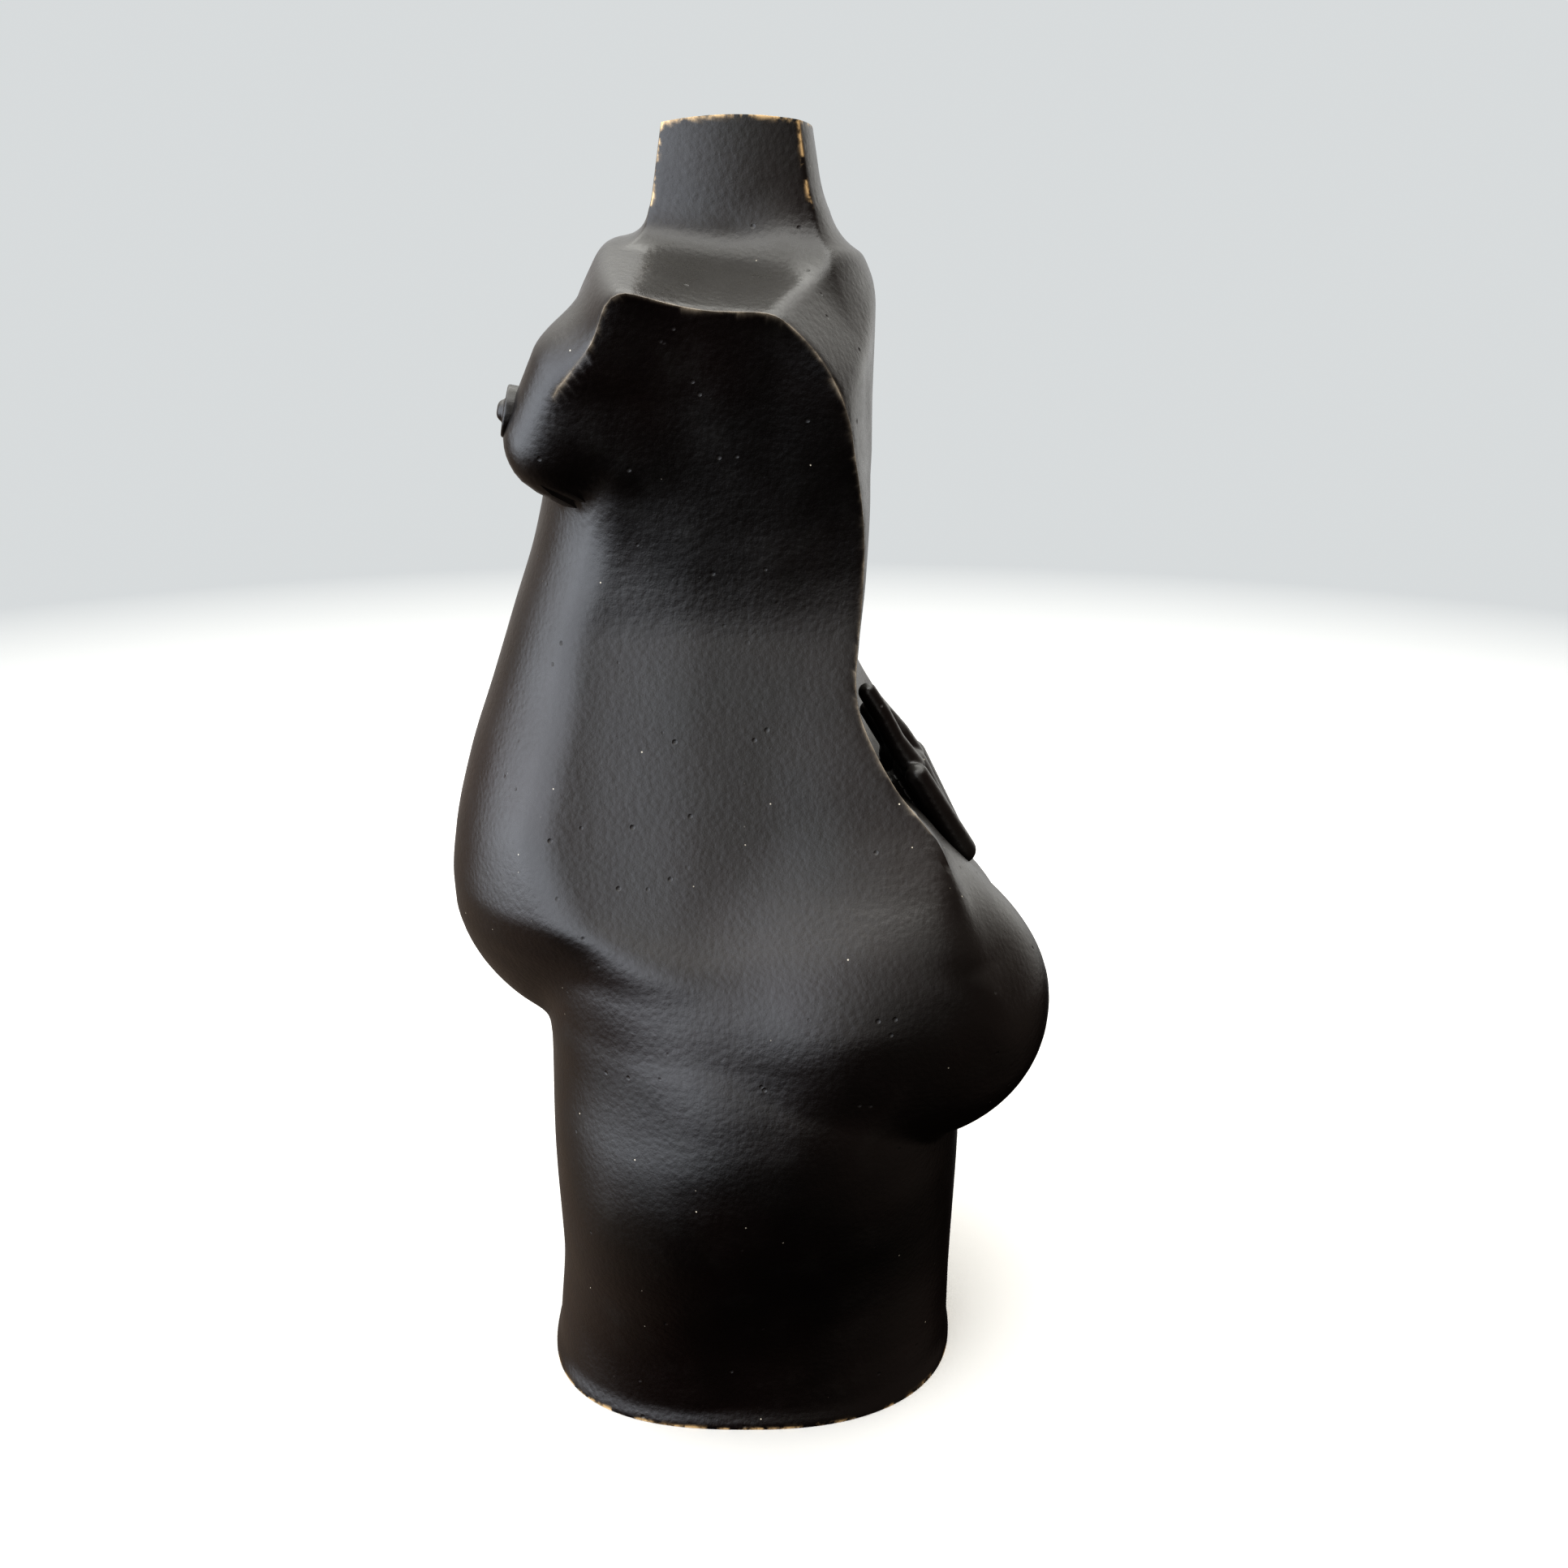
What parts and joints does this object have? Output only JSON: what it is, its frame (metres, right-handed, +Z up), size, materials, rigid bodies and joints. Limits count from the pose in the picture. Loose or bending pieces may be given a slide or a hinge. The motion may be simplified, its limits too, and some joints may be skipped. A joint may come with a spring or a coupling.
{
  "type": "female torso sculpture",
  "caption": "Standing headless female torso with hollowed flanks and a hand on the small of the back, its thighs run together into the column that it stands on.",
  "frame": {"origin": "middle of the flat underside of the column that the figure stands on", "axes": "+Z up, the figure faces -Y, its left side is +X"},
  "size_m": [0.1754, 0.1976, 0.42],
  "materials": {
    "patinated_clay": "satin near-black patina with a fine leathery skin, worn to pale ochre on the crisp edges"
  },
  "bodies": {
    "root": {"torso": "patinated_clay"}
  },
  "joints": []
}
